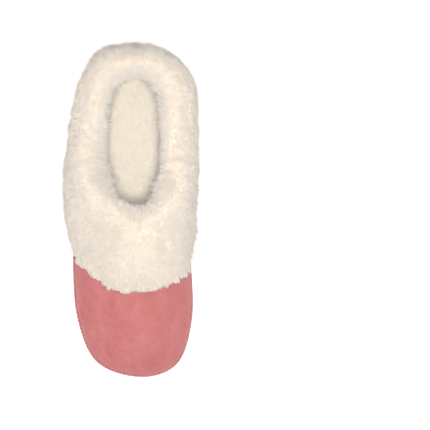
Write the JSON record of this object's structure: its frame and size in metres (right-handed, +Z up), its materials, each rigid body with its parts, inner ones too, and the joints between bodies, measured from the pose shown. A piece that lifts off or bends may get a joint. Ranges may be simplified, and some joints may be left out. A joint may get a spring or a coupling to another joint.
{
  "type": "fluffy house slipper",
  "caption": "Right-foot closed-heel house slipper: dusty pink suede-look upper and platform, deep cream faux-fur collar, plush footbed, tan rubber outsole.",
  "frame": {"origin": "on the floor under the middle of the slipper's overall box", "axes": "+Z up, toe towards -Y, heel towards +Y, the inner side of the right foot towards +X"},
  "size_m": [0.1112, 0.2696, 0.0809],
  "materials": {
    "rubber_sole": "matt moulded rubber",
    "eva_foam": "closed-cell foam",
    "suede_fabric": "microsuede nap",
    "fibreboard": "matt fibreboard",
    "memory_foam": "open-cell foam",
    "plush": "short plush pile",
    "thread": "polyester thread",
    "tape": "woven tape",
    "faux_fur": "deep soft pile"
  },
  "bodies": {
    "root": {"outsole": "rubber_sole", "midsole": "eva_foam", "platform_cover": "suede_fabric", "insole_board": "fibreboard", "footbed_foam": "memory_foam", "footbed_cover": "plush", "feather_seam_thread": "thread", "vamp": "suede_fabric", "quarter_outer": "suede_fabric", "quarter_inner": "suede_fabric", "side_seam_thread_outer": "thread", "side_seam_thread_inner": "thread", "back_seam_thread": "thread", "toe_puff": "fibreboard", "heel_counter": "fibreboard", "vamp_interlining": "memory_foam", "quarter_interlining_outer": "memory_foam", "quarter_interlining_inner": "memory_foam", "topline_tape": "tape", "vamp_lining": "plush", "quarter_lining_outer": "plush", "quarter_lining_inner": "plush", "collar_front": "faux_fur", "collar_outer": "faux_fur", "collar_inner": "faux_fur"}
  },
  "joints": []
}
